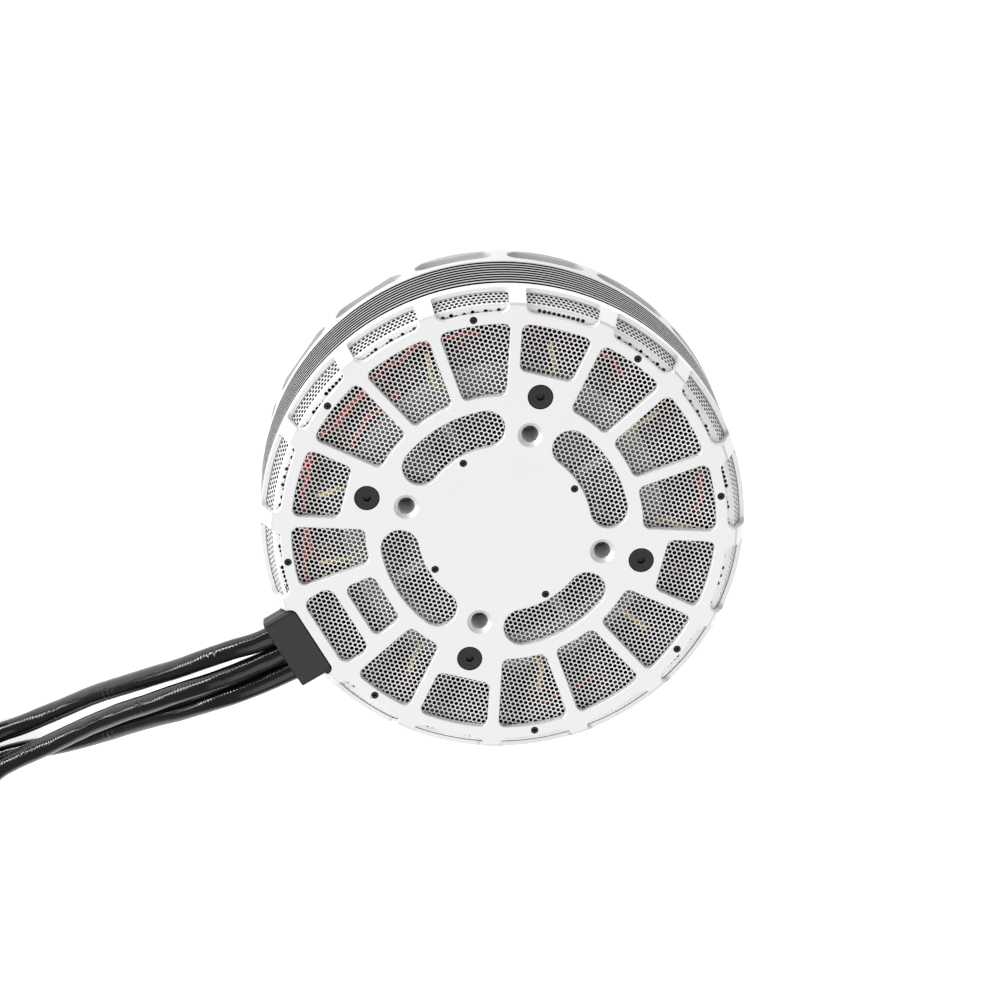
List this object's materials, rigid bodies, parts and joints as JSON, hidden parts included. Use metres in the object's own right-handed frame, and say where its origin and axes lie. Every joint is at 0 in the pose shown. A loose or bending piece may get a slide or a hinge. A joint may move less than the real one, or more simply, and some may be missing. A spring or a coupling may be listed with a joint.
{
  "type": "brushless outrunner motor",
  "caption": "Large flat outrunner motor with a ribbed, mesh-backed mounting plate, a finned rotor band, a slotted rotor cap and sleeved phase cables that leave through a side clamp.",
  "frame": {"origin": "on the motor's axis, at the face that it rests on (the rotor cap's underside)", "axes": "+Z along the axis, from the rotor cap towards the mounting face; the phase cables leave along -X"},
  "size_m": [0.5597, 0.1924, 0.07],
  "materials": {
    "plate_aluminium": "bead blasted, bright turned edges",
    "cap_aluminium": "bead blasted",
    "screen_steel": "perforated, bright",
    "carrier_aluminium": "machined",
    "core_laminations": "black coated sheet stack",
    "winding_enamel": "enamelled copper wire",
    "cage_plastic": "moulded",
    "bearing_steel": "ground",
    "magnet_nickel": "nickel plated",
    "band_steel": "turned",
    "black_steel": "black oxide",
    "clamp_plastic": "moulded, matt",
    "cable_sleeve": "braided sleeve",
    "connector_gold": "gold plated",
    "shrink_black": "shrunk tube",
    "strap_black": "woven hook and loop"
  },
  "bodies": {
    "stator": {"mount_plate": "plate_aluminium", "mesh_screen": "screen_steel", "stator_carrier": "carrier_aluminium", "stator_core": "core_laminations", "stator_winding": "winding_enamel", "bearing_outer_lower": "bearing_steel", "bearing_outer_upper": "bearing_steel", "bearing_cage_lower": "cage_plastic", "bearing_cage_upper": "cage_plastic", "plate_screw_1": "black_steel", "plate_screw_2": "black_steel", "plate_screw_3": "black_steel", "plate_screw_4": "black_steel", "mesh_screw_inner_1": "black_steel", "mesh_screw_inner_2": "black_steel", "mesh_screw_inner_3": "black_steel", "mesh_screw_inner_4": "black_steel", "mesh_screw_outer_1": "black_steel", "mesh_screw_outer_2": "black_steel", "mesh_screw_outer_3": "black_steel", "mesh_screw_outer_4": "black_steel", "mesh_screw_outer_5": "black_steel", "mesh_screw_outer_6": "black_steel", "mesh_screw_outer_7": "black_steel", "mesh_screw_outer_8": "black_steel", "cable_clamp_upper": "clamp_plastic", "cable_clamp_lower": "clamp_plastic", "phase_lead_1": "cable_sleeve", "phase_lead_2": "cable_sleeve", "phase_lead_3": "cable_sleeve", "phase_cable_1": "cable_sleeve", "phase_cable_2": "cable_sleeve", "phase_cable_3": "cable_sleeve", "bullet_connector_1": "connector_gold", "bullet_connector_2": "connector_gold", "bullet_connector_3": "connector_gold", "heat_shrink_1": "shrink_black", "heat_shrink_2": "shrink_black", "heat_shrink_3": "shrink_black", "cable_strap": "strap_black"},
    "rotor": {"flux_ring": "band_steel", "magnet_ring": "magnet_nickel", "rotor_cap": "cap_aluminium", "shaft": "bearing_steel", "shaft_circlip": "black_steel", "bearing_inner_lower": "bearing_steel", "bearing_inner_upper": "bearing_steel", "cap_screw_1": "black_steel", "cap_screw_2": "black_steel", "cap_screw_3": "black_steel", "cap_screw_4": "black_steel", "cap_screw_5": "black_steel", "cap_screw_6": "black_steel", "cap_screw_7": "black_steel", "cap_screw_8": "black_steel", "hub_screw_1": "black_steel", "hub_screw_2": "black_steel", "hub_screw_3": "black_steel", "hub_screw_4": "black_steel"}
  },
  "joints": [
    {"name": "rotor_spin", "type": "hinge", "parent": "stator", "child": "rotor", "pos_m": [0, 0, 0.036], "axis": [0, 0, 1], "continuous": true}
  ]
}
